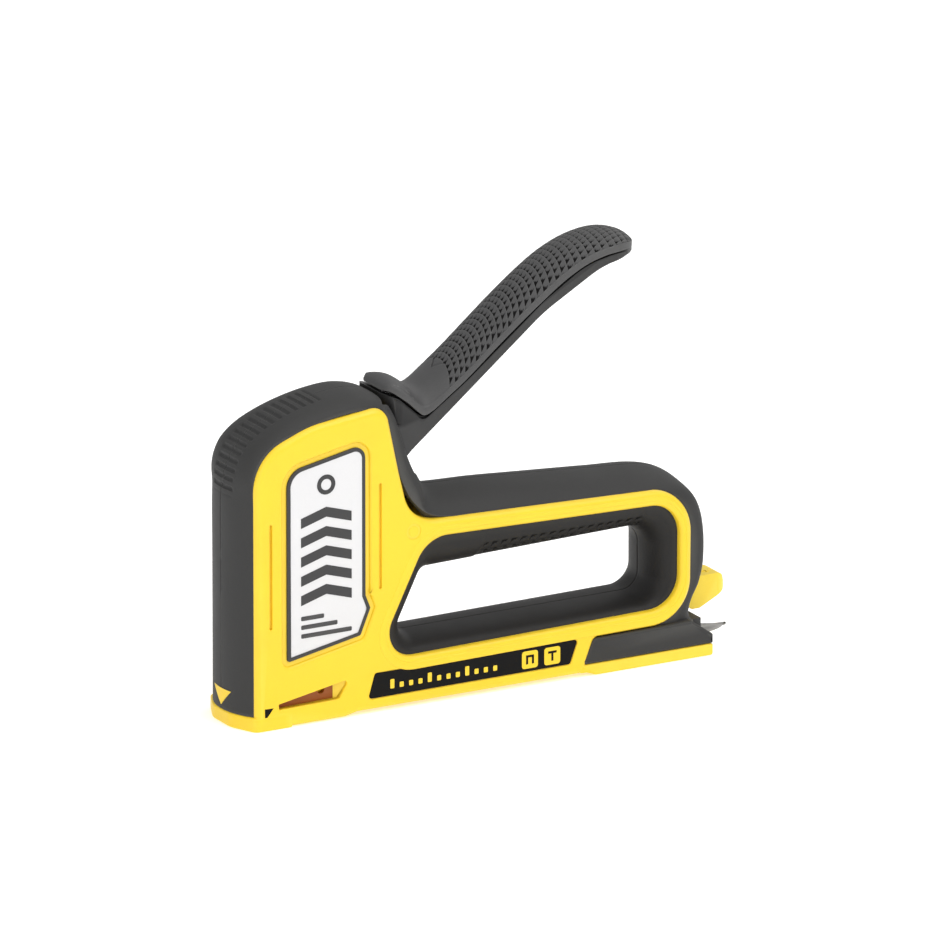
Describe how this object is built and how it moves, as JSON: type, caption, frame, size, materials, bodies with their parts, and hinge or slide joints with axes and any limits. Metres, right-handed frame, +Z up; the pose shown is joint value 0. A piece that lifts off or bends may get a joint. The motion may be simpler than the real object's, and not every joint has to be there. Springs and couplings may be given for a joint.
{
  "type": "staple gun",
  "caption": "Hand-held lever tacker with a yellow two-half housing, soft black band round nose and closed handle, textured squeeze lever, slide-out staple magazine and rear latch.",
  "frame": {"origin": "on the work surface, under the middle of the whole tool (bounding box bottom centre), on the mid-plane between the housing halves", "axes": "+X from the nose to the rear, +Y across the tool to its right side, +Z up, away from the work"},
  "size_m": [0.1898, 0.032, 0.1485],
  "materials": {
    "yellow_shell": "moulded ABS, satin",
    "black_rubber": "soft-touch moulded rubber, matt",
    "black_liner": "soft-touch moulded rubber, matt",
    "lever_plastic": "glass-filled nylon, fine moulded texture",
    "lever_rubber": "soft-touch rubber with moulded triangle tread",
    "label_white": "printed plate, satin",
    "label_edge": "moulded frame, matt",
    "decal_black": "printed film",
    "screw_steel": "black-zinc plated steel",
    "plated_steel": "bright zinc plated pressed steel",
    "spring_steel": "oiled spring wire",
    "tool_steel": "hardened steel, ground",
    "bumper_rubber": "cast polyurethane",
    "yellow_latch": "moulded acetal, satin",
    "black_plastic": "moulded nylon"
  },
  "bodies": {
    "housing": {"left_shell": "yellow_shell", "left_overmold": "black_rubber", "left_hole_liner": "black_liner", "left_label_frame": "label_edge", "left_label_plate": "label_white", "left_base_decal": "decal_black", "right_shell": "yellow_shell", "right_overmold": "black_rubber", "right_hole_liner": "black_liner", "right_label_frame": "label_edge", "right_label_plate": "label_white", "right_base_decal": "decal_black", "housing_screws": "screw_steel", "nose_guide": "plated_steel", "bumper": "bumper_rubber", "spring_cap": "black_plastic", "lever_pivot_pin": "tool_steel", "latch_pin": "tool_steel"},
    "lever": {"lever_body": "lever_plastic", "lever_grip": "lever_rubber", "lever_arm": "plated_steel", "lever_return_spring": "spring_steel"},
    "driver": {"driver_blade": "tool_steel", "hammer_carrier": "plated_steel", "power_spring": "spring_steel"},
    "magazine": {"magazine_channel": "plated_steel", "core_rail": "plated_steel", "pusher_rod": "tool_steel", "pusher_spring": "spring_steel", "magazine_end_cap": "black_plastic", "staple_lifter": "tool_steel"},
    "pusher": {"pusher": "plated_steel"},
    "latch": {"magazine_latch": "yellow_latch", "latch_spring": "spring_steel"}
  },
  "joints": [
    {"name": "lever_squeeze", "type": "hinge", "parent": "housing", "child": "lever", "pos_m": [-0.045, 0, 0.086], "axis": [0, 1, 0], "range_deg": [0, 38], "stiffness_Nm_per_rad": 1.5, "springref_deg": -17.19},
    {"name": "driver_lift", "type": "slide", "parent": "housing", "child": "driver", "axis": [0, 0, 1], "range_m": [0, 0.0146], "stiffness_N_per_m": 60, "springref_m": -0.01, "deforming": ["power_spring"]},
    {"name": "magazine_slide", "type": "slide", "parent": "housing", "child": "magazine", "axis": [1, 0, 0], "range_m": [0, 0.06]},
    {"name": "pusher_slide", "type": "slide", "parent": "magazine", "child": "pusher", "axis": [1, 0, 0], "range_m": [0, 0.085], "stiffness_N_per_m": 30, "springref_m": -0.05, "deforming": ["pusher_spring"]},
    {"name": "latch_lift", "type": "hinge", "parent": "housing", "child": "latch", "pos_m": [0.0674, 0, 0.0193], "axis": [0, -1, 0], "range_deg": [0, 8], "stiffness_Nm_per_rad": 0.05, "springref_deg": -17.19}
  ],
  "couplings": [
    {"joint": "driver_lift", "follows": "lever_squeeze", "m_per_rad": 0.021923}
  ]
}
